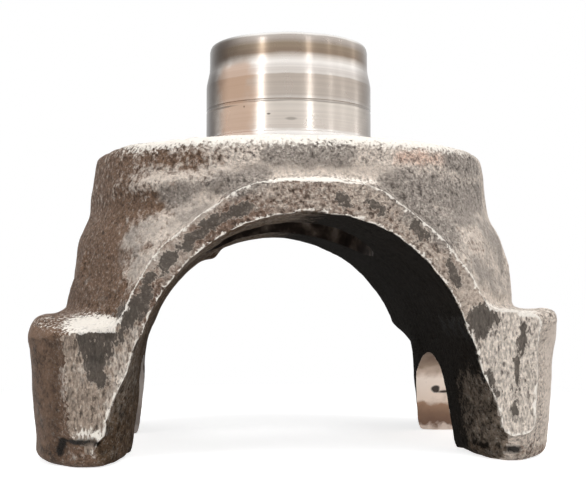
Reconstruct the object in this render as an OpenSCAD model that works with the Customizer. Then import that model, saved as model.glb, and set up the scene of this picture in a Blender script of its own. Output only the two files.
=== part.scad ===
// Half-round end yoke for the output shaft of a truck transmission.
// One forged and machined piece of steel, standing on its four prong ends with the hub up.
// X runs across the two bearing ears, Y runs through the arch, Z is the shaft axis.

/* [Hub] */
// Radius of the ground seal journal
journal_r = 35; // [33:0.5:38]
// Height of the hub's end face above the prong ends
hub_top_z = 166.5; // [163:0.5:175]
// Radius of the collar at the root of the journal
collar_r = 35.7; // [35.2:0.1:40]
// Height of the top of that collar
collar_top_z = 126.5; // [125.5:0.5:132]
// Radius of the reduced nose above the journal
nose_r = 33.6; // [31:0.1:34.5]
// Height at which the journal starts to taper down to the nose
nose_z = 150; // [145:0.2:155]
// Height of that taper
nose_taper = 6.2; // [1:0.1:8]
// Chamfer round the hub's end face
hub_chamfer = 1; // [0.5:0.1:2]
// Height of the groove that the seal lip has worn
lip_groove_z = 139; // [133:0.5:144]
// Depth of the worn groove
lip_groove_depth = 0.35; // [0.1:0.05:0.8]
// Width of the worn groove
lip_groove_w = 1.6; // [0.8:0.1:3]
// Radius of the fillet where the hub meets the drum
hub_fillet = 4.5; // [3:0.5:5]

/* [Drum] */
// Radius of the drum at its top edge
drum_top_r = 81; // [78:0.5:82.5]
// Height of the drum's top edge
drum_top_z = 118.5; // [115:0.5:120]
// Radius of the rounded top edge
drum_edge = 4; // [2:0.5:7]
// Rise of the top face from its edge to the hub
crown = 3; // [1:0.5:4]
// Radius of the drum where its wall breaks into the skirt
break_r = 83.2; // [81.5:0.2:85]
// Height of that break
break_z = 93; // [88:0.5:98]
// Radius of the skirt where it meets the ears
skirt_r = 90.5; // [88:0.5:93]
// Height at which the skirt stops widening
skirt_z = 70; // [66:0.5:76]
// Radius of the fillet between the skirt and the ears' shoulders
skirt_fillet = 8; // [5:0.5:11]

/* [Arch] */
// Radius of the arch under the drum
arch_r = 61.5; // [58:0.5:63]
// Height of the arch's centre
arch_z = 28.7; // [27:0.1:32]
// Width of the trimmed band that borders the arch
band_w = 11.5; // [8:0.5:14]
// Half the depth of the body over the crowns of both bands
band_y = 84; // [83:0.5:88]
// Radius of the bands' sweep, seen from above
band_sweep = 150; // [135:5:200]
// Width of the hollow flank beside each band
flank_w = 24; // [18:0.5:28]
// Drop of that flank from the band to the skirt
flank_drop = 42; // [36:1:48]

/* [Ears] */
// Half the gap between the ears at the prong ends
foot_gap = 64; // [62:0.5:66]
// Inward lean of the ears' inner faces over their height
ear_lean = 5.5; // [3:0.5:7]
// Half the width over both ears at the shoulders
ear_top_x = 102; // [99:0.5:106]
// Half the width over both ears at the top of the saddles
ear_wall_x = 100; // [97:0.5:101]
// Half the width over both ears at the prong ends
ear_foot_x = 97.2; // [94:0.5:99]
// Height of the shoulders
ear_z = 54; // [51:0.5:58]
// Half the length of the straight middle of each ear
ear_mid = 30; // [27:0.5:33]
// Distance of the nose line of each ear from the shaft axis
nose_x = 76.6; // [75:0.2:79]
// Length of a nose at the prong end
nose_foot = 37.5; // [35:0.5:38.5]
// Length of a nose just above the tongue's tip, before trimming
nose_tip = 40.5; // [40:0.1:42]
// Growth of a nose's outer flank from there to the shoulder, before trimming
nose_growth = 1; // [0.5:0.1:4]
// Spread of a nose's inner flank as it runs up into the band
nose_spread = 2.7; // [1.5:0.1:4]
// Fullness of a nose's plan, 2 being an ellipse
nose_full = 2.2; // [2:0.05:2.8]
// Half the depth of the body over its trimmed tongues
tongue_y = 69.5; // [68:0.5:70]
// Height of the tongue's tip
tongue_z = 12; // [9:0.5:18]
// Rounding of the prong ends' rims
foot_round = 4; // [2:0.5:6]
// Rounding of the shoulders' rims
shoulder_round = 4; // [2:0.5:6]

/* [Bearing saddles] */
// Radius of the half-round saddles
saddle_r = 30; // [26:0.5:31]
// Height of the cross axis
saddle_z = 7; // [5:0.5:9]
// Half the distance between the lips that hold the bearing cups
saddle_half = 92; // [88:0.5:93]
// Radial height of those lips
lip_h = 3; // [1:0.5:5]

/* [Cap bolt holes] */
// Core radius of the threads
cap_hole_r = 5.4; // [4:0.1:7]
// Depth of the holes
cap_hole_depth = 28; // [20:1:34]
// Distance of the holes from the middle plane
cap_hole_y = 47; // [44:0.5:50]
// Distance of the holes from the shaft axis
cap_hole_x = 79; // [77:0.5:82]
// Countersink at the mouth of each hole
cap_hole_sink = 1.2; // [0.5:0.1:2]

/* [Shaft bore] */
// Tip radius of the internal splines
spline_in_r = 22.8; // [20:0.1:24]
// Root radius of the internal splines
spline_out_r = 24.8; // [24.2:0.1:25.2]
// Number of splines
spline_count = 39; // [24:1:46]
// Radius of the pilot bore at the hub's end
pilot_r = 25.6; // [25.4:0.1:28]
// Length of the pilot bore
pilot_len = 14; // [6:1:20]
// Radius of the nut recess
nut_r = 36; // [32:0.5:40]
// Height of the seat that the nut pulls against
nut_seat_z = 98; // [95:0.5:104]

/* [Hidden] */
$fn = 96;
reach = hub_top_z;      // cutting tools run past the forging by its own height
core_drop = 8;          // how far the drum reaches down between the ears' shoulders
bead_drop = 6;          // how far the fullest part of an ear's outer face lies under its shoulder
ring_n = 9;             // steps on each quarter of an ear's outline
rim_n = 4;              // steps round a rim
wall_n = 6;             // steps up the wall of a prong
tip_step = 3;           // height of the step under a tongue's tip
core_z = ear_z - core_drop;
blend_n = 7;            // steps of a hollow blend
flank_step = 8;         // setback of the flank from the band's crown
flank_proud = 1.5;      // how far the flank stands out beyond the skirt
flare_bite = 0.6;       // depth at which the skirt's fillet runs into the shoulder
forged = [0.50, 0.46, 0.42];

// Inner face, outer face and nose lengths of an ear at height z
function ear_in(z) = foot_gap - ear_lean * z / ear_z;
function ear_out(z) = lookup(z, [
    [0, ear_foot_x], [saddle_z + saddle_r, ear_wall_x], [ear_z - bead_drop, ear_top_x]]);
function rise(z) = max(0, (z - tongue_z) / (ear_z - tongue_z));
function nose(z) = lookup(z, [[0, nose_foot], [tongue_z - tip_step, nose_foot + 0.5], [tongue_z, nose_tip]]);
function flank_out(z) = nose(z) + nose_growth * rise(z);
function flank_in(z) = nose(z) * (1 + nose_spread * pow(rise(z), 3));
function swell(v) = sign(v) * pow(abs(v), 2 / nose_full);

// Plan outline of the +X ear at height z, drawn in by a margin m
function ear_ring(z, m) = [
    for (s = [1, -1], k = [0 : 2 * ring_n])
        let (a = 90 * k / ring_n + (s > 0 ? 0 : 180),
             inner = cos(a) < 0,
             w = (inner ? nose_x - ear_in(z) : ear_out(z) - nose_x) - m,
             n = (inner ? flank_in(z) : flank_out(z)) - m)
        [nose_x + w * swell(cos(a)), s * ear_mid + n * swell(sin(a))]];

// Heights and margins of an ear's outlines: rounded foot, drafted wall, rounded shoulder
ear_levels = concat(
    [for (i = [0 : rim_n]) let (a = 90 * i / rim_n)
        [foot_round * (1 - cos(a)), foot_round * (1 - sin(a))]],
    [[tongue_z - tip_step, 0]],
    [for (i = [0 : wall_n]) [tongue_z + (ear_z - 1.5 * shoulder_round - tongue_z) * i / wall_n, 0]],
    [for (i = [0 : rim_n]) let (a = 90 * i / rim_n)
        [ear_z - shoulder_round * (1 - sin(a)), shoulder_round * (1 - cos(a))]]);

// Solid through a stack of outlines of equal length, closed at both ends round a middle point
module loft(rings, foot_mid, top_mid) {
    n = len(rings[0]);
    last = len(rings) - 1;
    foot = len(rings) * n;
    polyhedron(
        points = concat([for (r = rings, p = r) p], [foot_mid, top_mid]),
        faces = [
            for (i = [0 : n - 1])
                let (j = (i + 1) % n)
                each concat(
                    [[foot, i, j], [foot + 1, last * n + j, last * n + i]],
                    [for (r = [0 : last - 1]) each [
                        [r * n + i, (r + 1) * n + i, (r + 1) * n + j],
                        [r * n + i, (r + 1) * n + j, r * n + j]]])],
        convexity = 4);
}

module mirror_copy(v) {
    children();
    mirror(v) children();
}

// A round bar along Y on the arch's axis
module arch_bar(r) {
    translate([0, 0, arch_z]) rotate([90, 0, 0]) cylinder(r = r, h = 2 * reach, center = true, $fn = 144);
}

// Trim the forging to its plan outline: swept over the arch, flat over the prongs
module trim_sides() {
    intersection() {
        children();
        union() {
            intersection() {
                translate([0, band_sweep - band_y, 0]) cylinder(r = band_sweep, h = hub_top_z, $fn = 180);
                translate([0, band_y - band_sweep, 0]) cylinder(r = band_sweep, h = hub_top_z, $fn = 180);
            }
            translate([-reach, -tongue_y, 0]) cube([2 * reach, 2 * tongue_y, hub_top_z]);
        }
    }
}

module hub() {
    foot = drum_top_z + crown;
    root = drum_top_z - drum_edge;
    rotate_extrude()
        polygon(concat(
            [[0, root], [collar_r + hub_fillet, root]],
            [for (i = [0 : rim_n]) let (a = 90 * i / rim_n)
                [collar_r + hub_fillet * (1 - sin(a)), foot + hub_fillet * (1 - cos(a))]],
            [[collar_r, collar_top_z], [journal_r, collar_top_z + collar_r - journal_r],
             [journal_r, lip_groove_z - lip_groove_w / 2],
             [journal_r - lip_groove_depth, lip_groove_z],
             [journal_r, lip_groove_z + lip_groove_w / 2],
             [journal_r, nose_z], [nose_r, nose_z + nose_taper],
             [nose_r, hub_top_z - hub_chamfer], [nose_r - hub_chamfer, hub_top_z], [0, hub_top_z]]));
}

// Round drum with a crowned top, a rounded edge and a widening skirt
module drum() {
    rotate_extrude()
        polygon(concat(
            [[0, core_z], [skirt_r, core_z]],
            [for (i = [0 : blend_n]) let (t = i / blend_n)
                [skirt_r + (break_r - skirt_r) * pow(t, 1.4), skirt_z + (break_z - skirt_z) * t]],
            [for (i = [0 : 2 * rim_n]) let (a = 45 * i / rim_n)
                [drum_top_r - drum_edge * (1 - cos(a)), drum_top_z - drum_edge * (1 - sin(a))]],
            [[collar_r + hub_fillet, drum_top_z + crown], [0, drum_top_z + crown]]));
}

// Hollow fillet that carries the skirt out onto the shoulder of the +X ear
module skirt_flare() {
    intersection() {
        rotate_extrude()
            polygon(concat(
                [[0, core_z], [skirt_r + skirt_fillet, core_z]],
                [for (i = [0 : blend_n]) let (a = 90 * i / blend_n)
                    [skirt_r + skirt_fillet * (1 - sin(a)),
                     ear_z - flare_bite + skirt_fillet * (1 - cos(a))]],
                [[0, ear_z - flare_bite + skirt_fillet]]));
        translate([0, 0, core_z])
            linear_extrude(height = hub_top_z) polygon(ear_ring(ear_z - shoulder_round, shoulder_round));
    }
}

// Band along the arch with the hollow flank that runs from its edge down to the skirt
module bands() {
    rim = arch_r + band_w;
    flank = [for (i = [0 : blend_n]) let (t = i / blend_n)
        [rim + flank_w * t, band_y - flank_step - flank_drop * (1 - pow(1 - t, 1.5))]];
    arch_bar(rim);
    intersection() {
        translate([0, 0, arch_z]) rotate([90, 0, 0])
            rotate_extrude($fn = 144)
                polygon(concat(
                    flank,
                    [for (i = [blend_n : -1 : 0]) [flank[i][0], -flank[i][1]]],
                    [[0, -flank[0][1]], [0, flank[0][1]]]));
        cylinder(r = skirt_r + flank_proud, h = hub_top_z, $fn = 144);
    }
}

module ear() {
    loft([for (l = ear_levels) [for (p = ear_ring(l[0], l[1])) [p[0], p[1], l[0]]]],
        [nose_x, 0, 0], [nose_x, 0, ear_z]);
}

// The forging before machining
module forging() {
    trim_sides() {
        drum();
        mirror_copy([1, 0, 0]) {
            skirt_flare();
            ear();
        }
        intersection() {
            bands();
            translate([-reach, -reach, core_z]) cube([2 * reach, 2 * reach, hub_top_z]);
        }
    }
}

// Half-round seats for the two bearing cups, each with a lip at its outer end
module saddles() {
    lip_r = saddle_r - lip_h;
    translate([0, 0, saddle_z]) rotate([0, 90, 0]) {
        cylinder(r = saddle_r, h = 2 * saddle_half, center = true);
        cylinder(r = lip_r, h = 2 * reach, center = true);
    }
    translate([0, 0, saddle_z - reach / 2]) cube([2 * saddle_half, 2 * saddle_r, reach], center = true);
    translate([0, 0, saddle_z - reach / 2]) cube([2 * reach, 2 * lip_r, reach], center = true);
}

// Splined shaft bore with a pilot at the hub's end and the nut recess under it
module shaft_bore() {
    pitch = 360 / spline_count;
    linear_extrude(height = 2 * hub_top_z)
        polygon([for (i = [0 : spline_count - 1], c = [[-0.34, 0], [-0.16, 1], [0.16, 1], [0.34, 0]])
            let (r = spline_in_r + c[1] * (spline_out_r - spline_in_r), a = pitch * (i + c[0]))
            [r * cos(a), r * sin(a)]]);
    translate([0, 0, hub_top_z - pilot_len]) cylinder(r = pilot_r, h = reach);
    translate([0, 0, nut_seat_z - reach]) cylinder(r = nut_r, h = reach);
}

module cap_bolt_holes() {
    for (x = [-cap_hole_x, cap_hole_x], y = [-cap_hole_y, cap_hole_y])
        translate([x, y, 0]) {
            translate([0, 0, -1]) cylinder(r = cap_hole_r, h = cap_hole_depth + 1, $fn = 48);
            translate([0, 0, -1])
                cylinder(r1 = cap_hole_r + cap_hole_sink + 1, r2 = cap_hole_r, h = cap_hole_sink + 1, $fn = 48);
        }
}

module yoke() {
    color(forged)
        difference() {
            union() {
                forging();
                hub();
            }
            arch_bar(arch_r);
            saddles();
            shaft_bore();
            cap_bolt_holes();
        }
}

yoke();
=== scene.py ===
import math

import bpy
import numpy as np
from mathutils import Matrix, Vector, noise


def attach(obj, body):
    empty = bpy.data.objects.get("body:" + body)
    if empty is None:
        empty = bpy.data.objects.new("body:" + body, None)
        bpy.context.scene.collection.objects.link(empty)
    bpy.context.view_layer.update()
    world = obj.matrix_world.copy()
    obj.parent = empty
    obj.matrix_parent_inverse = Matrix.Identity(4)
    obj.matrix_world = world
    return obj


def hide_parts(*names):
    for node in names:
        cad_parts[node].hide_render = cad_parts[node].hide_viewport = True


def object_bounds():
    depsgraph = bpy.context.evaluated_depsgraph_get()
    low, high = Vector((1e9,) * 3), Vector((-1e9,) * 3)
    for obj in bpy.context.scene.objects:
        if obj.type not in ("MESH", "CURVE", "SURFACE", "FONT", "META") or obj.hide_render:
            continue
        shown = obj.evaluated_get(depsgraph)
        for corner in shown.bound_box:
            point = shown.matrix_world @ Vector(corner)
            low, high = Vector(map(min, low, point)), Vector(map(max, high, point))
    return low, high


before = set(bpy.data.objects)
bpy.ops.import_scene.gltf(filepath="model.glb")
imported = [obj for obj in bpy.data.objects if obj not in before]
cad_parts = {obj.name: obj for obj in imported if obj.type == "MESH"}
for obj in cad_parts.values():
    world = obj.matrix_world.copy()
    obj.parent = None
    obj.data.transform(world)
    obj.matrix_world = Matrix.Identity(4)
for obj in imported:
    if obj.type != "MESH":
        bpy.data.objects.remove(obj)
cad_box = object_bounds()


# Camera. A phone held low in front of the arch, a little to the left of its axis,
# and tipped up by two and a half degrees.
camera = bpy.data.objects.new("camera", bpy.data.cameras.new("camera"))
camera.data.sensor_width = 36
camera.data.lens = 65.66
camera.data.clip_start = 0.01
camera.location = (-0.0434, -0.4524, 0.0609)
camera.rotation_euler = (math.radians(92.49), 0, math.radians(-5.72))
bpy.context.collection.objects.link(camera)
bpy.context.scene.camera = camera
bpy.context.scene.view_settings.view_transform = "Standard"


# Studio. A pale matt floor that runs out of view, in a plain white room. The camera and the
# steel's reflections see white, and the light that the floor and the room throw back is weaker.
def connect(tree, node, inputs):
    """Sets each input of a node to its value, or links it to its socket."""
    for socket, value in inputs.items():
        if isinstance(value, bpy.types.NodeSocket):
            tree.links.new(value, node.inputs[socket])
        else:
            node.inputs[socket].default_value = value


def add_node(tree, kind, inputs=None, stops=None, **settings):
    """Adds a shader node with its properties, colour stops and inputs."""
    new = tree.nodes.new(kind)
    for name, value in settings.items():
        setattr(new, name, value)
    if stops:
        bar = new.color_ramp.elements
        bar.remove(bar[1])
        bar[0].position, bar[0].color = stops[0][0], linear(stops[0][1])
        for place, code in stops[1:]:
            bar.new(place).color = linear(code)
    connect(tree, new, inputs or {})
    return new


def linear(hex_code):
    """An sRGB hex colour as linear RGBA."""
    parts = [int(hex_code[i:i + 2], 16) / 255 for i in (1, 3, 5)]
    return [c / 12.92 if c <= 0.04045 else ((c + 0.055) / 1.055) ** 2.4 for c in parts] + [1]


def deselect():
    bpy.ops.object.select_all(action="DESELECT")


floor_size = 6.0
deselect()
bpy.ops.mesh.primitive_plane_add(size=floor_size, location=(0, 0, 0))
floor = bpy.context.object
floor.name = "floor"
white = linear("#ffffff")

# matt paint, which glows a little so that it stays white to the camera away from the shadow
pale_floor = bpy.data.materials.new("pale_matt_floor")
pale_floor.use_nodes = True
tree = pale_floor.node_tree
tree.nodes.clear()
rays = add_node(tree, "ShaderNodeLightPath").outputs
seen = rays["Is Camera Ray"]
for kind in ("Is Glossy Ray", "Is Transmission Ray"):
    seen = add_node(tree, "ShaderNodeMath", {0: seen, 1: rays[kind]}, operation="MAXIMUM").outputs[0]
tone = add_node(tree, "ShaderNodeMix", {0: seen, 6: linear("#b0adab"), 7: linear("#fafafa")},
                data_type="RGBA").outputs[2]
matt = add_node(tree, "ShaderNodeBsdfDiffuse", {"Color": tone}).outputs[0]
glow = add_node(tree, "ShaderNodeEmission", {"Color": white, "Strength": 0.72}).outputs[0]
near = add_node(tree, "ShaderNodeAddShader", {0: matt, 1: glow}).outputs[0]
far = add_node(tree, "ShaderNodeEmission", {"Color": white, "Strength": 1.0}).outputs[0]
spot = add_node(tree, "ShaderNodeTexCoord").outputs["Object"]
away = add_node(tree, "ShaderNodeVectorMath", {0: spot}, operation="LENGTH").outputs["Value"]
fade = add_node(tree, "ShaderNodeMapRange", {0: away, 1: 0.04, 2: 0.30},
                interpolation_type="SMOOTHSTEP").outputs[0]
paper = add_node(tree, "ShaderNodeMixShader", {0: fade, 1: near, 2: far}).outputs[0]
face = add_node(tree, "ShaderNodeMixShader", {0: seen, 1: matt, 2: paper}).outputs[0]
add_node(tree, "ShaderNodeOutputMaterial", {"Surface": face})
floor.data.materials.append(pale_floor)

room = bpy.data.worlds.new("white_room")
bpy.context.scene.world = room
room.use_nodes = True
tree = room.node_tree
tree.nodes.clear()
rays = add_node(tree, "ShaderNodeLightPath").outputs
seen = rays["Is Camera Ray"]
for kind in ("Is Glossy Ray", "Is Transmission Ray"):
    seen = add_node(tree, "ShaderNodeMath", {0: seen, 1: rays[kind]}, operation="MAXIMUM").outputs[0]
level = add_node(tree, "ShaderNodeMapRange", {0: seen, 3: 0.35, 4: 1.0}).outputs[0]
sky = add_node(tree, "ShaderNodeBackground", {"Color": white, "Strength": level}).outputs[0]
add_node(tree, "ShaderNodeOutputWorld", {"Surface": sky})

# name, watts, width and height in metres, place and the height that the lamp faces; the tall
# strips stand where the hub mirrors them as upright streaks
soft_boxes = [
    ("key", 4.1, 1.20, 0.90, (0.40, -0.72, 0.64), 0.09),
    ("top", 5.6, 0.50, 0.50, (0.05, -0.32, 0.90), 0.09),
    ("left", 0.8, 0.45, 0.45, (-0.70, -0.45, 0.45), 0.09),
    ("left_strip", 1.05, 0.09, 0.50, (-0.68, -0.73, 0.33), 0.14),
    ("front_strip", 0.50, 0.03, 0.50, (0.39, -0.92, 0.33), 0.14),
    ("right_strip", 0.12, 0.015, 0.50, (0.81, -0.59, 0.33), 0.14),
    ("side_strip", 0.06, 0.010, 0.50, (0.96, -0.28, 0.33), 0.14),
    ("rear_strip", 0.12, 0.015, 0.50, (0.97, 0.20, 0.33), 0.14),
]
for name, watts, wide, tall, place, aim_z in soft_boxes:
    lamp = bpy.data.objects.new(name + "_soft_box", bpy.data.lights.new(name, "AREA"))
    lamp.data.shape = "RECTANGLE"
    lamp.data.energy = watts
    lamp.data.size, lamp.data.size_y = wide, tall
    lamp.location = place
    lamp.visible_camera = False
    lamp.visible_glossy = "strip" in name
    tip = math.atan2(math.hypot(place[0], place[1]), place[2] - aim_z)
    lamp.rotation_euler = (tip, 0, math.atan2(place[1], place[0]) + math.pi / 2)
    bpy.context.collection.objects.link(lamp)


# Forging. The whole body between the hub and the prong ends, hot forged in closed dies in one
# piece, so every corner is rounded and every valley is a soft fillet. It starts as a merged copy
# of the frame's solid with its machined openings filled, which is remeshed and smoothed.
mm = 0.001
grain = 1.5                                 # spacing of the forging's mesh, in mm as all below
arch_r, arch_z = 61.5, 28.7                 # the arch and the height of its centre
sweep_r, sweep_y, flat_y = 150, 84, 69.5    # plan of the trimmed faces, and their flat part
hub_base_z = 121.4
saddle_fill = [(63.9, 0), (96.4, 0), (99.6, 38), (60.8, 38)]    # x and z of a filler's corners
saddle_fill_y = 30.6


def mesh_object(name, points, faces, edges=()):
    """An object from points in mm."""
    mesh = bpy.data.meshes.new(name)
    mesh.from_pydata([[c * mm for c in point] for point in points], edges, faces)
    made = bpy.data.objects.new(name, mesh)
    bpy.context.collection.objects.link(made)
    return made


def make_active(item, *others):
    deselect()
    for each in (item, *others):
        each.select_set(True)
    bpy.context.view_layer.objects.active = item


def edit(item, *steps):
    """Runs edit-mode operators on the whole of a mesh."""
    make_active(item)
    bpy.ops.object.mode_set(mode="EDIT")
    bpy.ops.mesh.select_all(action="SELECT")
    for step in steps:
        step()
    bpy.ops.object.mode_set(mode="OBJECT")


def merge():
    bpy.ops.mesh.select_all(action="SELECT")
    bpy.ops.mesh.remove_doubles(threshold=1e-6)
    bpy.ops.mesh.normals_make_consistent(inside=False)


def revolve(name, profile, sides, turn=Matrix(), place=(0, 0, 0)):
    """A closed solid turned from (radius, height) points, then turned and placed."""
    outline = [(i, i + 1) for i in range(len(profile) - 1)]
    made = mesh_object(name, [(r, 0, z) for r, z in profile], [], outline)
    edit(made, lambda: bpy.ops.mesh.spin(steps=sides, angle=math.tau, center=(0, 0, 0), axis=(0, 0, 1)),
         merge)
    made.data.transform(Matrix.Translation([c * mm for c in place]) @ turn)
    return made


def drum(name, radius, low, high, sides, turn=Matrix(), place=(0, 0, 0)):
    """A plain turned cylinder between two heights."""
    return revolve(name, [(0, low), (radius, low), (radius, high), (0, high)], sides, turn, place)


def apply(item, kind, **settings):
    """Adds a modifier with its settings and applies it."""
    change = item.modifiers.new(kind.lower(), kind)
    for name, value in settings.items():
        setattr(change, name, value)
    make_active(item)
    bpy.ops.object.modifier_apply(modifier=change.name)


def boolean(item, tool, operation):
    """Adds, cuts or intersects with a tool, which is then removed."""
    apply(item, "BOOLEAN", operation=operation, solver="MANIFOLD", object=tool)
    bpy.data.objects.remove(tool)


def trim_y(x):
    """Half the depth of the trimmed body at x: swept over the arch, flat over the prongs."""
    sweep = np.sqrt(sweep_r ** 2 - np.minimum(np.abs(x), sweep_r) ** 2) - sweep_r + sweep_y
    return np.maximum(sweep, flat_y)


def fbm(points, size, octaves, seed):
    """Fractal noise of features about size mm across."""
    shift = Vector((seed * 17.3, seed * 5.1, seed * 11.9))
    return np.array([noise.fractal(Vector(p) / size + shift, 0.6, 2.0, octaves) for p in points])


def bump_at(value, middle, half):
    """A smooth bump of height 1 over a value, half as high half a width away."""
    return np.exp(-0.69 * ((value - middle) / half) ** 2)


def step_at(value, start, end):
    """0 up to the start, 1 from the end on, with a smooth rise between."""
    t = np.clip((value - start) / (end - start), 0, 1)
    return t * t * (3 - 2 * t)


def read_points(item):
    flat = np.empty(3 * len(item.data.vertices))
    item.data.vertices.foreach_get("co", flat)
    return flat.reshape(-1, 3) / mm


def write_points(item, points):
    item.data.vertices.foreach_set("co", (points * mm).ravel())
    item.data.update()


def read_normals(item):
    flat = np.empty(3 * len(item.data.vertices))
    item.data.vertices.foreach_get("normal", flat)
    return flat.reshape(-1, 3)


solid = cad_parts["yoke"]
yoke = bpy.data.objects.new("end_yoke", solid.data.copy())
yoke.data.transform(solid.matrix_world)
yoke.data.materials.clear()
bpy.context.collection.objects.link(yoke)
edit(yoke, merge)

boolean(yoke, drum("hub_room", 45, hub_base_z, 175, 64), "DIFFERENCE")
along_y = Matrix.Rotation(math.pi / 2, 4, "X")
recess_plug = drum("recess_plug", 38, 60, 99, 64)
boolean(recess_plug, drum("arch_room", arch_r, -60, 60, 120, along_y, (0, 0, arch_z)), "DIFFERENCE")
fillers = [drum("bore_plug", 27, 97.8, hub_base_z, 64), recess_plug]
for side in (1, -1):
    corners = [(side * x, y, z) for y in (-saddle_fill_y, saddle_fill_y) for x, z in saddle_fill]
    walls = [(i, (i + 1) % 4, (i + 1) % 4 + 4, i + 4) for i in range(4)]
    fillers.append(mesh_object("saddle_filler", corners, [(3, 2, 1, 0), (4, 5, 6, 7)] + walls))
    edit(fillers[-1], merge)
make_active(yoke, *fillers)
bpy.ops.object.join()
apply(yoke, "REMESH", mode="VOXEL", voxel_size=grain * mm)

# The band and the tongues stand proud of the trim's plane before it is sheared, and the skin
# beside the band falls back. The band is widest halfway down, and climbs to a peak on the right.
points = read_points(yoke)
normals = read_normals(yoke)
x, y, z = points.T
depth = np.abs(y)
tongues = (depth > trim_y(x) - 0.9) & (np.abs(normals[:, 1]) > 0.5) & (z < 56)
outer_r = np.interp(np.abs(x), [0, 12, 22, 28, 34, 40, 56], [72.0, 72.8, 74.5, 74.2, 72.4, 71.0, 70.6])
outer_r += np.interp(x, [57, 66, 73], [0, 2.2, 7])
past = np.hypot(x, z - arch_z) - outer_r
push = 3 * (1 - step_at(past, -1.0, 1.0)) - 1.8 * step_at(past, 0, 2.5) * (1 - step_at(past, 4, 9))
push *= (depth > trim_y(x) - 4.5) & (np.abs(normals[:, 1]) > 0.3) & (z >= 56)
peak = (x > 57) & (z >= 54) & (y < 0) & (depth > trim_y(x) - 8) & (normals[:, 1] < -0.25)
raised = (trim_y(x) + 1.5 - depth) * step_at(-past, 0, 4.5)
push = np.where(peak, np.maximum(push, raised), push)
points[:, 1] += np.sign(y) * (push + 3 * tongues)
write_points(yoke, points)
apply(yoke, "SMOOTH", iterations=8, factor=0.5)

# Marks of this one piece: the waves of the skin, the roll line round the drum with a hollow
# below it, a waist on the left, a lump on the arch's rear edge, a bead and a dent.
points = read_points(yoke)
normals = read_normals(yoke)
x, y, z = points.T
wall = step_at(np.hypot(x, y), 66, 74) * (1 - step_at(np.abs(normals[:, 2]), 0.5, 0.9))
roll = bump_at(z, 101.8, 2.2) * wall * step_at(-x, -50, -5) * (1 - 0.8 * bump_at(x, 0, 22))
dies = 0.45 * fbm(points, 26, 3, 1) + 0.16 * fbm(points, 6, 2, 2)
dies += 1.1 * roll * (1 - 0.7 * step_at(-x, 64, 76))
dies -= 0.9 * bump_at(z, 94.5, 3.0) * wall * bump_at(x, -40, 22)
dies -= 1.6 * bump_at(z, 72, 11) * wall * step_at(-x, 50, 75)
for centre, height, spread in (((-31, 76, 82), 2.4, 18), ((92, -63, 51), 2.2, 26)):
    dies += height * np.exp(-((points - centre) ** 2).sum(axis=1) / spread)
dies -= 1.4 * np.exp(-((x + 86.5) ** 2 + (z - 7) ** 2) / 12) * (y < -50)

# The ears aren't quite alike: their inner faces flare at the back, the left front prong is
# fuller, the left shoulder slopes down and the right one and the skirt above it stand out.
inner_face = (1 - step_at(z, 36, 50)) * bump_at(np.abs(x), 63, 6)
points[:, 0] += (4.0 * np.sign(x) + 3.5 * (x > 0)) * step_at(y, 27, 60) * inner_face
points[:, 0] -= 1.6 * (x > 0) * step_at(y, 5, 25) * inner_face
points[:, 0] -= 0.4 * bump_at(z, 22, 16) * step_at(-x, 80, 92)
fuller = 1.5 * (1 - step_at(z, 44, 53)) + 0.8 * bump_at(z, 3, 4)
points[:, 0] -= fuller * step_at(-x, 78, 92) * step_at(-y, 20, 45)
points[:, 1] -= 1.0 * (x < -60) * step_at(-y, 50, 64) * (1 - step_at(z, 7, 12))
points[:, 1] += 1.0 * (x > 60) * step_at(-y, 50, 64) * (1 - step_at(z, 11, 17))
nose = step_at(np.abs(x), 81.5, 87) * (1 - step_at(z, 44, 52)) * step_at(np.abs(y), 52, 69)
points[:, 1] -= np.sign(y) * 2.6 * nose
shoulder = bump_at(z, 53, 5) * step_at(np.abs(x), 60, 70)
points[:, 2] -= 4.6 * (x < 0) * shoulder * step_at(-y, 46, 70)
points[:, 2] -= 1.2 * (x < 0) * shoulder * step_at(y, 46, 70)
points[:, 2] += 1.8 * (x > 0) * shoulder
skirt = (1.7 * (x > 0) - 1.2 * (x < 0)) * bump_at(z, 83.5, 6)
points[:, 0] += skirt * wall * step_at(np.abs(x), 60, 82)
points[:, 0] += 0.9 * (x > 0) * bump_at(z, 61, 4) * wall * step_at(x, 70, 84)
low, high = (np.array(corner) / mm for corner in cad_box)
write_points(yoke, np.clip(points + normals * dies[:, None], low + 0.05, high - 0.05))


# Trimmed faces. After forging the flash was sheared off along the arch and down the prongs, which
# left a flat band and a pointed tongue on each prong, torn a little along the shear.
cell = 2.5
columns = np.arange(-125, 125.1, cell)
rows = np.arange(0, 180.1, cell)
across, up = len(columns), len(rows)
front = [(cx, -float(trim_y(cx)), cz) for cz in rows for cx in columns]
torn = 0.14 * fbm(front, 9, 3, 3) + 0.10 * fbm([(px * 3, py, pz / 3) for px, py, pz in front], 6, 2, 4)
front = [(px, py + t, pz) for (px, py, pz), t in zip(front, torn)]
back = [(px, -py, pz) for px, py, pz in front]
count = len(front)
quads = [(r * across + c, r * across + c + 1, (r + 1) * across + c + 1, (r + 1) * across + c)
         for r in range(up - 1) for c in range(across - 1)]
rim = list(range(across)) + [r * across + across - 1 for r in range(1, up)]
rim += [(up - 1) * across + c for c in range(across - 2, -1, -1)] + [r * across for r in range(up - 2, 0, -1)]
sides = [(a, b, b + count, a + count) for a, b in zip(rim, rim[1:] + rim[:1])]
rear_quads = [tuple(i + count for i in quad[::-1]) for quad in quads]
trim = mesh_object("trim_die", front + back, quads + rear_quads + sides)
edit(trim, merge)
boolean(yoke, trim, "INTERSECT")

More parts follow.
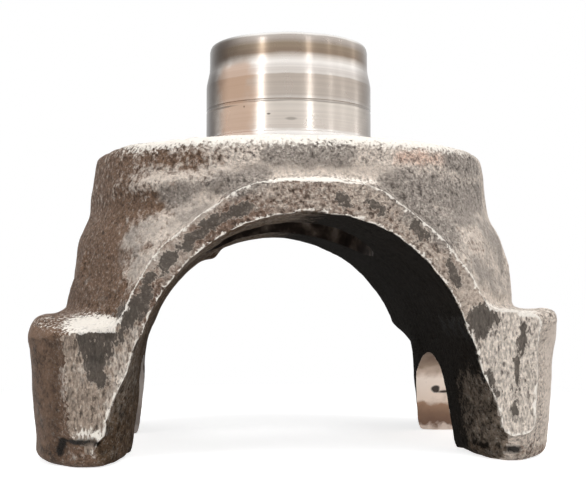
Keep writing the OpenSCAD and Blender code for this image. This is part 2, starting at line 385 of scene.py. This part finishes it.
# The left tongue's outer edge has worn round in service.
x, y, z = read_points(yoke).T
worn = yoke.vertex_groups.new(name="worn")
for index in np.nonzero((np.abs(np.abs(y) - trim_y(x)) < 4) & (x < -76) & (z < 50) & (z > 13))[0]:
    worn.add([int(index)], float(step_at(-x[index], 76, 82)), "ADD")
apply(yoke, "SMOOTH", iterations=14, factor=0.6, vertex_group="worn")
yoke.vertex_groups.clear()


# Hub. Turned and ground on the forging's axis: a collar ring at its root, the journal that the
# seal runs on with the groove its lip has worn, a taper, and a reduced nose with a rolled rim.
hub_profile = [
    (0, 112), (40.2, 112), (40.2, 121.1), (38.4, 121.8), (36.8, 123.3), (35.9, 125.3), (35.7, 126.3),
    (35.0, 126.8), (35.0, 132), (35.0, 138.3), (34.75, 138.7), (34.75, 139.1), (35.0, 139.5), (35.0, 145),
    (35.0, 149.0), (34.85, 150.4), (34.5, 152.2), (34.0, 154.4), (33.7, 156.0), (33.6, 157.4), (33.55, 161.2),
    (33.55, 164.2), (33.3, 165.4), (32.9, 166.2), (32.4, 166.5), (0, 166.5)]
journal_r = 35
boolean(yoke, revolve("hub", hub_profile, 180), "UNION")


def new_steel(name):
    """A steel finish: its material, node tree, shader and place on the piece."""
    made = bpy.data.materials.new(name)
    made.use_nodes = True
    tree = made.node_tree
    return made, tree, tree.nodes["Principled BSDF"], add_node(tree, "ShaderNodeTexCoord").outputs["Object"]


def toward(turn):
    """A flat direction, turned in degrees from the front of the piece, left negative."""
    return math.sin(math.radians(turn)), -math.cos(math.radians(turn)), 0


# Ground steel: fine rings round the axis draw the light into upright streaks. Its colour runs in level bands:
# old oil and heat have stained it brown, and the near-white bands at the collar, on the taper and at the rim
# are painted highlights, the lamps' reflection. The rings are drawn 0.7 mm apart, coarser than they are, so
# that they show.
ground_steel, tree, shader, place = new_steel("ground_steel")
smear = add_node(tree, "ShaderNodeTexNoise",
                 {"Vector": place, "Scale": 1 / (12 * mm), "Detail": 4}).outputs[0]
up = add_node(tree, "ShaderNodeSeparateXYZ", {0: place}).outputs[2]
level = add_node(tree, "ShaderNodeMath", {0: smear, 1: 1.2 * mm, 2: up}, operation="MULTIPLY_ADD").outputs[0]
up = add_node(tree, "ShaderNodeMapRange", {0: level, 1: 120.6 * mm, 2: 168.6 * mm}).outputs[0]
heights = [(121, "#c8beb6"), (125.3, "#fbf6f1"), (126.6, "#fffaf5"), (127.6, "#d5cbc2"), (138.1, "#d7cec4"),
           (138.7, "#aaa199"), (139.4, "#d2cbc4"), (141, "#beb3a9"), (149.0, "#bbafa4"), (149.6, "#dcd5ce"),
           (151.0, "#d8d0c9"), (154.5, "#f6f0ea"), (157.0, "#cabfb5"), (158.5, "#917f6f"), (161.6, "#998977"),
           (163.4, "#b1a69d"), (165.0, "#c2b9b1"), (165.5, "#f4f0ea"), (166.5, "#ffffff")]
stops = [((h - 120) / 48, code) for h, code in heights]
bands_and_highlights = add_node(tree, "ShaderNodeValToRGB", {0: up}, stops).outputs[0]
rings = add_node(tree, "ShaderNodeMapping", {"Vector": place, "Scale": (8, 8, 1.5 / mm)}).outputs[0]
lines = add_node(tree, "ShaderNodeTexNoise", {"Vector": rings, "Scale": 1, "Detail": 3}).outputs[0]
shade = add_node(tree, "ShaderNodeMapRange", {0: lines, 1: 0.3, 2: 0.7, 3: 0.92, 4: 1.05}).outputs[0]
tone = add_node(tree, "ShaderNodeMix", {0: 1.0, 6: bands_and_highlights, 7: shade}, data_type="RGBA",
                blend_type="MULTIPLY").outputs[2]
# warm brown on the left of the journal; dark brown towards both sides and on the nose's left is painted
# shade, the dark reflection at the sides of the turned steel: where it faces, from and to how straight,
# from and to what height, colour and strength
for turn, start, end, foot, head, code, most in (
        (-46, 1.00, 1.045, 122, 157, "#c29878", 0.6), (-62, 0.86, 1.05, 156, 168, "#4b4038", 0.85),
        (-90, 0.80, 1.02, 122, 168, "#3d342d", 0.95), (88, 0.72, 1.06, 122, 168, "#554b43", 0.8)):
    facing = [c / (journal_r * mm) for c in toward(turn)]
    faced = add_node(tree, "ShaderNodeVectorMath", {0: place, 1: facing},
                     operation="DOT_PRODUCT").outputs["Value"]
    faced = add_node(tree, "ShaderNodeMath", {0: smear, 1: 0.12, 2: faced},
                     operation="MULTIPLY_ADD").outputs[0]
    tint_and_side_shade = add_node(tree, "ShaderNodeMapRange", {0: faced, 1: start, 2: end, 4: most},
                     interpolation_type="SMOOTHSTEP").outputs[0]
    for off, on in ((foot - 2, foot + 2), (head + 2, head - 2)):
        inside = add_node(tree, "ShaderNodeMapRange", {0: level, 1: off * mm, 2: on * mm}).outputs[0]
        tint_and_side_shade = add_node(tree, "ShaderNodeMath", {0: tint_and_side_shade, 1: inside}, operation="MULTIPLY").outputs[0]
    tone = add_node(tree, "ShaderNodeMix", {0: tint_and_side_shade, 6: tone, 7: linear(code)}, data_type="RGBA").outputs[2]
# a nick, a dot, a smudge and a second dark line beside the seal's groove
for turn, at, wide, tall, code, most in (
        (-18.5, 133.2, 1.0, 0.45, "#3c352f", 0.8), (-36, 136.7, 0.4, 0.5, "#4a3f38", 0.8),
        (-4, 131.2, 3.0, 0.8, "#8d857d", 0.6), (-62, 137.6, 15, 0.5, "#6b6058", 0.7)):
    centre = Vector(toward(turn)) * journal_r + Vector((0, 0, at))
    scale = [1 / (size * mm) for size in (wide, wide, tall)]
    moved = [-c * mm * k for c, k in zip(centre, scale)]
    spot = add_node(tree, "ShaderNodeMapping",
                    {"Vector": place, "Scale": scale, "Location": moved}).outputs[0]
    spot = add_node(tree, "ShaderNodeVectorMath", {0: spot}, operation="LENGTH").outputs["Value"]
    spot = add_node(tree, "ShaderNodeMath", {0: smear, 1: 0.8, 2: spot}, operation="MULTIPLY_ADD").outputs[0]
    spot = add_node(tree, "ShaderNodeMapRange", {0: spot, 1: 1.4, 2: 0.9, 4: most}).outputs[0]
    tone = add_node(tree, "ShaderNodeMix", {0: spot, 6: tone, 7: linear(code)}, data_type="RGBA").outputs[2]
grind = add_node(tree, "ShaderNodeBump", {"Strength": 0.08, "Distance": 0.1 * mm, "Height": lines}).outputs[0]
round_axis = add_node(tree, "ShaderNodeTangent", direction_type="RADIAL", axis="Z").outputs[0]
rough = add_node(tree, "ShaderNodeMapRange", {0: smear, 1: 0.35, 2: 0.65, 3: 0.26, 4: 0.33}).outputs[0]
connect(tree, shader, {"Metallic": 1.0, "Anisotropic": 0.75, "Anisotropic Rotation": 0.25, "Base Color": tone,
                       "Roughness": rough, "Normal": grind, "Tangent": round_axis})


# Bore. Broached splines from the nut's seat up to the pilot, with the recess for the shaft's nut
# milled up into the arch.
recess_r, recess_top = 36, 98
pilot_r, pilot_z, hub_top_z = 25.6, 152.5, 166.5
splines, tip_r, root_r = 39, 22.8, 24.8
boolean(yoke, drum("nut_recess", recess_r, 40, recess_top, 120), "DIFFERENCE")
tooth = [(-0.34, tip_r), (-0.16, root_r), (0.16, root_r), (0.34, tip_r)]
ring = [(r * math.cos(math.tau * (i + a) / splines), r * math.sin(math.tau * (i + a) / splines), 90)
        for i in range(splines) for a, r in tooth]
broach = mesh_object("broach", ring, [tuple(range(len(ring)))])
lift = {"value": (0, 0, 85 * mm)}
edit(broach, lambda: bpy.ops.mesh.extrude_region_move(TRANSFORM_OT_translate=lift), merge)
boolean(yoke, broach, "DIFFERENCE")
pilot = [(0, pilot_z), (pilot_r, pilot_z), (pilot_r, hub_top_z - 0.9), (27, hub_top_z + 0.3), (27, 175),
         (0, 175)]
boolean(yoke, revolve("pilot", pilot, 120), "DIFFERENCE")

# Oiled steel: gear oil has turned it dull brown and black, so it shows little gloss and only
# thin streaks of the bare metal.
oiled_steel, tree, shader, place = new_steel("oiled_bore_steel")
film = add_node(tree, "ShaderNodeTexNoise", {"Vector": place, "Scale": 1 / (8 * mm), "Detail": 5}).outputs[0]
stops = [(0.3, "#1d1713"), (0.48, "#3a302a"), (0.6, "#6a5e54"), (0.72, "#a0958b")]
tone = add_node(tree, "ShaderNodeValToRGB", {0: film}, stops).outputs[0]
lay = add_node(tree, "ShaderNodeBump", {"Strength": 0.3, "Distance": 0.3 * mm, "Height": film}).outputs[0]
connect(tree, shader, {"Metallic": 0.2, "Roughness": 0.7, "Specular IOR Level": 0.15, "Base Color": tone,
                       "Normal": lay})


# Bearing saddles. Half-round seats milled through both ears for the bearing cups, open below,
# with a lip left at each outer end that stops the cup from sliding out.
along_x = Matrix.Rotation(math.pi / 2, 4, "Y")
saddle_z, saddle_r, saddle_reach, lip_r = 7, 30, 92, 27
for radius, reach in ((saddle_r, saddle_reach), (lip_r, 130)):
    boolean(yoke, drum("saddle_cutter", radius, -reach, reach, 160, along_x, (0, 0, saddle_z)), "DIFFERENCE")
    deselect()
    bpy.ops.mesh.primitive_cube_add(size=1, location=(0, 0, (saddle_z - 20) * mm),
                                    scale=(2 * reach * mm, 2 * radius * mm, 40 * mm))
    bpy.ops.object.transform_apply(location=True, rotation=True, scale=True)
    boolean(yoke, bpy.context.object, "DIFFERENCE")

# Milled steel: coloured by height on each seat, pale at its foot, with brown stains lower down where water
# has stood, a bright band above them and darker towards the top, duller grey on the left seats, and the
# cutter's lines across, drawn 0.6 mm apart so that they show.
milled_steel, tree, shader, place = new_steel("milled_steel")
blot = add_node(tree, "ShaderNodeTexNoise", {"Vector": place, "Scale": 1 / (6 * mm), "Detail": 5}).outputs[0]
spot = add_node(tree, "ShaderNodeSeparateXYZ", {0: place}).outputs
up = add_node(tree, "ShaderNodeMath", {0: blot, 1: 9 * mm, 2: spot[2]}, operation="MULTIPLY_ADD").outputs[0]
up = add_node(tree, "ShaderNodeMapRange", {0: up, 1: 4.5 * mm, 2: 44.5 * mm}).outputs[0]
heights = [(0, "#e2d3c8"), (2.4, "#d9c8bc"), (3.4, "#7b6152"), (8, "#8f7360"), (11.5, "#a5866f"),
           (13.5, "#ecdacb"), (23, "#f6e8dc"), (26, "#cfbcad"), (30, "#a3907f"), (34, "#9b8b7d"),
           (38, "#5d564f")]
tone = add_node(tree, "ShaderNodeValToRGB", {0: up}, [(h / 40, code) for h, code in heights]).outputs[0]
spread = add_node(tree, "ShaderNodeMapRange", {0: blot, 1: 0.5, 2: 0.75, 4: 0.5}).outputs[0]
dull = add_node(tree, "ShaderNodeMapRange", {0: spot[0], 1: 0, 2: -10 * mm, 4: 0.85}).outputs[0]
for amount, code in ((spread, "#7d6352"), (dull, "#7d7773")):
    tone = add_node(tree, "ShaderNodeMix", {0: amount, 6: tone, 7: linear(code)}, data_type="RGBA").outputs[2]
# a dark pit with a tail in the right rear seat
for centre, size in (((70, 27, 18.8), (2.0, 3, 1.8)), ((74.5, 27, 17.6), (3.6, 3, 0.9))):
    scale = [1 / (c * mm) for c in size]
    moved = [-c * mm * k for c, k in zip(centre, scale)]
    pit = add_node(tree, "ShaderNodeMapping", {"Vector": place, "Scale": scale, "Location": moved}).outputs[0]
    pit = add_node(tree, "ShaderNodeVectorMath", {0: pit}, operation="LENGTH").outputs["Value"]
    pit = add_node(tree, "ShaderNodeMath", {0: blot, 1: 1.4, 2: pit}, operation="MULTIPLY_ADD").outputs[0]
    pit = add_node(tree, "ShaderNodeMapRange", {0: pit, 1: 1.8, 2: 1.4, 4: 0.95}).outputs[0]
    tone = add_node(tree, "ShaderNodeMix", {0: pit, 6: tone, 7: linear("#1c1613")},
                    data_type="RGBA").outputs[2]
cut = add_node(tree, "ShaderNodeMapping", {"Vector": place, "Scale": (1.8 / mm, 60, 60)}).outputs[0]
cut = add_node(tree, "ShaderNodeTexNoise", {"Vector": cut, "Scale": 1}).outputs[0]
lay = add_node(tree, "ShaderNodeBump", {"Strength": 0.2, "Distance": 0.1 * mm, "Height": cut}).outputs[0]
connect(tree, shader, {"Metallic": 0.7, "Roughness": 0.4, "Base Color": tone, "Normal": lay})


# Strap bolt holes. Drilled and tapped up into each prong end, two for each bearing strap, with
# a small countersink. Their threads are cut as rings, and they are milled steel as the seats are.
hole_x, hole_y = 79, 47
pitch, turns = 1.75, 15
thread = [(0, -1), (6.1, -1), (6.1, 0), (5.4, 0.7)]
for turn in range(turns):
    start = 0.9 + turn * pitch
    thread += [(6.0, start + 0.25 * pitch), (5.2, start + 0.9 * pitch)]
thread += [(5.2, 28), (0, 31)]
for place_x in (-hole_x, hole_x):
    for place_y in (-hole_y, hole_y):
        boolean(yoke, revolve("tapped_hole", thread, 32, place=(place_x, place_y, 0)), "DIFFERENCE")

edit(yoke, merge)
make_active(yoke)
bpy.ops.object.shade_smooth_by_angle(angle=math.radians(32))


# Skin of the forging. Scale from the furnace, rusted brown on the left and rubbed to a pale grey
# on the right, where painted light also makes it paler, with smooth dark flakes of the first scale left in
# patches on the sheared faces.
faces = yoke.data.polygons
centres = np.empty(3 * len(faces))
faces.foreach_get("center", centres)
cx, cy, cz = centres.reshape(-1, 3).T / mm
facing = np.empty(3 * len(faces))
faces.foreach_get("normal", facing)
facing = facing.reshape(-1, 3)
turned_r = np.hypot(cx, cy)
seat_r = np.hypot(cy, cz - saddle_z)
trim_depth = trim_y(cx)
sheared = (np.abs(cy) > trim_depth - 0.7) & (np.abs(facing[:, 1]) > 0.75)
ground = (turned_r < 41) & (cz > hub_base_z - 0.5)
bored = ((turned_r < 27.2) & (cz > 97)) | ((turned_r < recess_r + 0.1) & (cz > 60) & (cz < recess_top + 0.1))
milled = (seat_r < saddle_r + 0.1) | ((cz < saddle_z + 0.2) & (np.abs(cy) < saddle_r + 0.1))
milled &= (np.abs(cx) > 50) & (cz < 38)
milled |= cz < 0.1
milled |= (np.hypot(np.abs(cx) - hole_x, np.abs(cy) - hole_y) < 6.3) & (cz < 32)
tongue = sheared & (cz < 57) & (np.abs(cx) > 60)
inner = (np.abs(cx) < 76) & (cz < 50) & (facing[:, 0] * np.sign(cx) < -0.35)
inner |= np.hypot(cx, cz - arch_z) < arch_r + 2.5
inner &= (np.abs(cy) < trim_depth - 0.6) & (facing[:, 0] * cx < 0.2)
forged_part, band_part, ground_part, milled_part, bored_part, tongue_part, inner_part = range(7)
finish = np.full(len(faces), forged_part, dtype=np.int32)
for part, chosen in ((inner_part, inner), (band_part, sheared), (ground_part, ground), (milled_part, milled),
                     (bored_part, bored), (tongue_part, tongue)):
    finish[chosen] = part

# Points where a sheared face meets the skin are its sharp edge, painted pale: rubbed bare and with a painted
# highlight.
points = read_points(yoke)
normals = read_normals(yoke)
x, y, z = points.T
corner = np.empty(len(yoke.data.loops), dtype=np.int32)
yoke.data.loops.foreach_get("vertex_index", corner)
face_of = np.repeat(np.arange(len(faces)), [len(face.vertices) for face in faces])
low_part = np.full(len(points), 9)
high_part = np.full(len(points), -1)
np.minimum.at(low_part, corner, finish[face_of])
np.maximum.at(high_part, corner, finish[face_of])
on_trim = np.isin(low_part, (band_part, tongue_part)) | np.isin(high_part, (band_part, tongue_part))
edge = 1.0 * (on_trim & ((low_part == forged_part) | (high_part == inner_part)))
edge[(x < -76) & (z < 48) & (y < 0)] = 0
trimmed = np.isin(high_part, (band_part, tongue_part))


def marks(strokes):
    """A mask from strokes on the front (x, z, x, z, half width), 1 along each one's middle."""
    mask = np.zeros(len(points))
    for ax, az, bx, bz, half in strokes:
        run = (bx - ax) ** 2 + (bz - az) ** 2
        along = np.clip(((x - ax) * (bx - ax) + (z - az) * (bz - az)) / max(run, 1), 0, 1)
        far = np.hypot(x - ax - along * (bx - ax), z - az - along * (bz - az)) / half
        mask = np.maximum(mask, np.clip(1 - far / 2, 0, 1))
    return mask * (y < -35)


# dark flakes of the first scale, on the band and on the tongues
flakes = marks([
    (-43, 80, -36, 85, 2.6), (-34, 87, -22, 92, 2.4), (-51, 72, -48, 76, 2.2), (-57, 66, -55, 68, 2.6),
    (-60, 56, -58, 62, 3), (10, 96, 13, 93, 2.3), (21, 94, 25, 91, 1.8), (38, 86, 41, 82, 2.4),
    (51, 73, 54, 66, 1.7),
    (-79, 46.5, -67, 47, 3.6), (-78, 42, -71, 42, 3.8), (-77, 37.5, -73, 37, 3.0), (-66, 52, -62, 56, 4.5),
    (-76, 34, -72, 30.5, 2.8), (59.5, 51, 65.5, 56.5, 3.6), (62, 48, 68, 52.5, 3.8), (80, 50, 79, 40, 1.7),
    (77, 38, 77, 29, 1.5), (66, 33, 70, 25, 1.9), (77, 24, 76, 17, 1.7)])
# the pale flank of the skirt on the left, rubbed and with a painted highlight where it rises to the band,
# and the grey scale that still holds on the drum
flank = marks([(-64, 82, -52, 86, 5), (-54, 83, -36, 93, 5), (-60, 70, -46, 79, 5)])
grey = marks([
    (-50, 97, -24, 100, 3.6), (-36, 97, -18, 103, 3.2), (-12, 111, 12, 110.5, 3.4), (33, 101, 68, 98, 5.5),
    (40, 92, 52, 84, 5), (60, 92, 70, 100, 5), (57, 111.5, 69, 111, 3.6)])
grey = np.maximum(grey * (1 - flank), 0.38 * flank)
grey = np.maximum(grey, 0.6 * marks([(74, 88, 88, 68, 7), (60, 74, 78, 66, 5)]))
rust = marks([
    (-75, 109, -56, 111, 4.5), (-56, 111, -32, 108, 3), (-72, 92, -52, 94, 3.5), (-84, 66, -66, 78, 9),
    (-95, 30, -91, 44, 7), (-92, 10, -90, 26, 8), (62, 3.5, 92, 3.5, 4.5)])
rolls = marks([(-55, 103.5, -20, 105.5, 2.5), (-20, 106, 30, 105.8, 2.5), (30, 105, 72, 104, 3)])
rubbed = marks([
    (-86, 16, -86, 36, 2.4), (-86, 36, -76, 37, 1.5), (-76, 37, -67, 40, 1.6), (-62, 48, -67, 28, 3.2),
    (-67, 28, -72, 14, 3.2), (-83, 14, -73, 13, 2.5), (-84, 5, -70, 5, 1.6), (85, 16, 87, 48, 1.7),
    (62, 38, 70, 14, 1.4), (72, 13, 82, 14, 1.8), (76, 42, 71, 30, 3), (57, 53, 66, 59, 0.9)])
peach = marks([(33, 110.5, 43, 113.5, 2.4), (41, 111, 52, 112.5, 2.2)])
# pale tone: paler where rubbed and on the flank, darker with rust. Painted light is mixed in: the rise from
# left to right is partly the scale's own tone and partly light falling from the right, the upper drum is
# painted paler as lit from above, the far left darker, and the roll line carries a painted highlight
pale_and_painted_light = 1.0 * step_at(x, -75, 55) + 0.3 * step_at(z, 86, 100) + 0.8 * rubbed + 0.4 * rolls + 1.0 * flank
pale_and_painted_light -= 0.45 * rust + 0.25 * step_at(-x, 62, 74) + 0.2 * trimmed * (x < 55)

# near-black soot, grease and painted shade: dark smudges in the dents of the right prong end, a painted
# shadow in the dent under the left tongue's tip, painted shade inside the arch and on the inner faces between
# the prongs, where the right side is darkest, darker patches on the left tongue, and painted shade thinly on
# the left ear's outer face, where the light falls least
soot_and_shade = 0.95 * marks([
    (66, 6, 68, 5, 1.4), (75, 4.8, 79, 4.6, 1.2), (-88, 5.5, -87, 9, 1.7), (-87, 9.8, -74, 9.4, 0.9)])
within = (np.hypot(x, z - arch_z) < arch_r + 2.5) * step_at(z, 24, 42) * (np.abs(y) < trim_y(x) - 0.6)
inward = step_at(-normals[:, 0] * np.sign(x), 0.2, 0.6) * (np.abs(x) < 75) * (z < 46) * ~trimmed
deep = 0.5 * step_at(y, -55, -30) + 0.5 * step_at(z, 28, 42)
for part in ((0.30 + 0.80 * step_at(x, -12, 24)) * within, (0.42 + (x > 0) * (0.08 + deep)) * inward,
             0.40 * marks([(-79, 46, -67, 47, 4), (-77, 40, -73, 40, 4)]),
             0.42 * step_at(-x, 84, 90) * (z < 46) * (y < -20)):
    soot_and_shade = np.maximum(soot_and_shade, part)

# smoother skin on the ears' outer faces, the flank, the roll line and the right of the skirt
smooth = step_at(np.abs(x), 88, 93) * (z < 50)
for part in (flank, marks([(-60, 104, -20, 106, 1.5), (-20, 106, 30, 105.8, 2.0)]),
             0.75 * step_at(x, 48, 66) * (1 - step_at(z, 92, 102)) * step_at(z, 55, 60)):
    smooth = np.maximum(smooth, part)

# near-white on the drum's crown, the shoulders' ledges, the band's upper edge and the tongues: partly metal
# rubbed bare, partly painted highlights where these face up or catch the light
topside = step_at(normals[:, 2], 0.25, 0.6)
bare_and_highlight = bump_at(np.hypot(x, y), 79.5, 5) * bump_at(z, 118.5, 4.2)
bare_and_highlight *= (1 - 0.45 * step_at(np.abs(x + 5), 45, 75)) * (1 - 0.5 * step_at(-x, 60, 74))
left_ledge = bump_at(z, 51, 3.4) * step_at(-x, 60, 68) * topside * (1 - 0.6 * step_at(-x, 80, 92))
band_edge = marks([(-20, 101.4, 8, 102.3, 0.75), (8, 102.3, 32, 100.9, 0.75)])
for part in (left_ledge, 0.45 * bump_at(z, 55.5, 2) * step_at(x, 64, 70) * topside,
             band_edge * (1 - step_at(np.abs(x - 5), 12, 27)),
             0.8 * marks([(-81, 12, -73, 13, 2), (61, 46, 57, 53, 0.8), (66, 59.5, 73, 56.3, 0.9),
                          (73, 56.3, 84, 55.2, 0.9)])):
    bare_and_highlight = np.maximum(bare_and_highlight, part)

# the masks carry real wear, soot and stains, and also the painted light, highlights and shade
wear_and_painted_light = {"flakes": flakes, "grey": grey, "soot_and_shade": soot_and_shade, "bare_and_highlight": bare_and_highlight, "pale_and_painted_light": pale_and_painted_light, "edge": edge,
        "smooth": smooth, "peach": peach}
for name, values in wear_and_painted_light.items():
    layer = yoke.data.attributes.new(name, "FLOAT", "POINT")
    layer.data.foreach_set("value", values.astype(np.float32))

# Scaled steel, matt and grainy, with pale crests and dark pits, partly rubbed and partly the painted light
# and shade of the grain's relief: brown to beige on the skin and the band, paler and torn down their length
# on the tongues, dull on the inner faces. The grain is drawn 0.8 to 2 mm wide, coarser than it is, so that it
# shows.
noise_sizes = (("cloud", 22, 4, 0.6), ("patch", 11, 6, 0.62), ("blotch", 4.5, 6, 0.68),
               ("speck", 1.9, 3, 0.6), ("pebble", 1.05, 2, 0.55), ("grain", 0.8, 2, 0.6))
skins = {}
for slot, name, brown, beige, stretch, lean_over, patches, gloss, chisel in (
        (forged_part, "forged_scale", "#7d6452", "#dacdc1", (1, 1, 1), 0, 0.0, 0.25, 2.1),
        (band_part, "sheared_band", "#7b6557", "#bcada0", (1, 1, 1), 0, 0.18, 0.25, 1.4),
        (tongue_part, "sheared_tongue", "#b09f90", "#ebdfd3", (1.4, 1.4, 0.6), 0.2, 0.04, 0.25, 3.0),
        # the inner faces' skin, which shows the painted shade inside the arch and between the prongs
        (inner_part, "inner_scale_painted_shade", "#77624f", "#9c8d7e", (1, 1, 1), 0, 0.0, 0.0, 1.4)):
    skins[slot], tree, shader, place = new_steel(name)
    drawn = add_node(tree, "ShaderNodeMapping", {"Vector": place, "Scale": stretch,
                                                 "Rotation": (0, lean_over, 0)}).outputs[0]
    part = {key: add_node(tree, "ShaderNodeAttribute", attribute_name=key).outputs["Fac"] for key in wear_and_painted_light}
    for key, size, detail, rough in noise_sizes:
        source = place if key in ("cloud", "patch") else drawn
        part[key] = add_node(tree, "ShaderNodeTexNoise", {"Vector": source, "Scale": 1 / (size * mm),
                                                          "Detail": detail, "Roughness": rough}).outputs[0]
    # each layer is a sum of masks and noises, from and to which it comes in, and its strength; the rubbed
    # layer also carries painted highlights, and the dirt layer painted shade
    flaked = (("flakes", 1), ("blotch", 1.5), ("patch", 4 * patches), ("speck", 0.9))
    shift = 0.42 + 1.6 * patches
    for key, mix, start, end, most in (
            ("warm", (("pale_and_painted_light", 1), ("cloud", 1.7), ("blotch", 1.8), ("speck", 1.9)), 2.75, 3.45, 1.0),
            ("held", (("grey", 1), ("blotch", 0.8), ("patch", 1.6)), 1.35, 1.75, 0.85),
            ("rim", flaked, 1.29 + shift, 1.34 + shift, 0.8),
            ("flake", flaked, 1.35 + shift, 1.43 + shift, 0.88),
            ("pit", (("speck", 1),), 0.45, 0.35, 0.66),
            ("rub_and_highlight", (("edge", 0.8), ("bare_and_highlight", int(slot != band_part)), ("blotch", 0.4), ("pebble", 1.6)),
             1.42, 1.72, 0.95),
            ("dirt_and_shade", (("soot_and_shade", 1), ("blotch", 1.0), ("pebble", 0.7)), 1.1, 1.55, 0.96),
            ("tint", (("peach", 1), ("blotch", 1.4)), 0.9, 1.6, 0.7)):
        total = 0.0
        for source, weight in mix:
            total = add_node(tree, "ShaderNodeMath", {0: part[source], 1: weight, 2: total},
                             operation="MULTIPLY_ADD").outputs[0]
        part[key] = add_node(tree, "ShaderNodeMapRange", {0: total, 1: start, 2: end, 4: most}).outputs[0]
    # pits are painted dark and crests pale, partly rubbed and partly the painted light and shade of the
    # grain's relief, less so where the skin is smooth or still brown
    crest = add_node(tree, "ShaderNodeMath", {0: part["speck"], 1: part["grain"]},
                     operation="MULTIPLY").outputs[0]
    part["crest"] = add_node(tree, "ShaderNodeMapRange", {0: crest, 1: 0.28, 2: 0.40, 4: 0.6}).outputs[0]
    shine = add_node(tree, "ShaderNodeMath", {0: part["warm"], 1: part["held"]},
                     operation="MAXIMUM").outputs[0]
    part["shine"] = add_node(tree, "ShaderNodeMapRange", {0: shine, 3: 0.6, 4: 1.0}).outputs[0]
    part["even"] = add_node(tree, "ShaderNodeMapRange", {0: part["smooth"], 3: 1.0, 4: 0.25}).outputs[0]
    for key, other in (("rim", "speck"), ("crest", "shine"), ("crest", "even"), ("pit", "even")):
        part[key] = add_node(tree, "ShaderNodeMath", {0: part[key], 1: part[other]},
                             operation="MULTIPLY").outputs[0]
    glint = add_node(tree, "ShaderNodeMath", {0: part["crest"], 1: part["flake"]},
                     operation="MULTIPLY").outputs[0]
    tone = add_node(tree, "ShaderNodeMix", {0: part["warm"], 6: linear(brown), 7: linear(beige)},
                    data_type="RGBA").outputs[2]
    for amount, code in ((part["tint"], "#dcb8a4"), (part["held"], "#988f87"), (part["pit"], "#382e27"),
                         (part["crest"], "#ded4c9")):
        tone = add_node(tree, "ShaderNodeMix", {0: amount, 6: tone, 7: linear(code)},
                        data_type="RGBA").outputs[2]
    # the pebbled grain painted lighter and darker: painted light and shade of its relief
    grain_light_and_shade = add_node(tree, "ShaderNodeMapRange",
                    {0: part["pebble"], 1: 0.34, 2: 0.66, 3: 0.66, 4: 1.30}).outputs[0]
    tone = add_node(tree, "ShaderNodeMix", {0: part["even"], 6: tone, 7: grain_light_and_shade}, data_type="RGBA",
                    blend_type="MULTIPLY").outputs[2]
    for amount, code in ((part["rim"], "#d8ccbf"), (part["flake"], "#37302a"), (glint, "#93877c"),
                         (part["rub_and_highlight"], "#efe9e0"), (part["dirt_and_shade"], "#0b0907")):
        tone = add_node(tree, "ShaderNodeMix", {0: amount, 6: tone, 7: linear(code)},
                        data_type="RGBA").outputs[2]
    rough = add_node(tree, "ShaderNodeMapRange", {0: part["flake"], 3: 0.68, 4: 0.5}).outputs[0]
    # the relief is flatter on the flakes and where the metal is rubbed or painted with a highlight
    height = add_node(tree, "ShaderNodeMapRange", {0: part["flake"], 3: 0.9, 4: 0.2}).outputs[0]
    plain = add_node(tree, "ShaderNodeMapRange", {0: part["rub_and_highlight"], 3: 1.0, 4: 0.35}).outputs[0]
    for other in (part["even"], plain):
        height = add_node(tree, "ShaderNodeMath", {0: height, 1: other}, operation="MULTIPLY").outputs[0]
    relief = None
    for key, strength, deep_mm in (("pebble", height, 1.4), ("speck", height, 2.2),
                                   ("blotch", plain, chisel)):
        sockets = {"Strength": strength, "Distance": deep_mm * mm, "Height": part[key]}
        if relief:
            sockets["Normal"] = relief
        relief = add_node(tree, "ShaderNodeBump", sockets).outputs[0]
    connect(tree, shader, {"Metallic": 0.2, "Specular IOR Level": gloss, "Base Color": tone,
                           "Roughness": rough, "Normal": relief})

skins[ground_part], skins[milled_part], skins[bored_part] = ground_steel, milled_steel, oiled_steel
yoke.data.materials.clear()
for slot in sorted(skins):
    yoke.data.materials.append(skins[slot])
faces.foreach_set("material_index", finish)
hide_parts("yoke")
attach(yoke, "root")
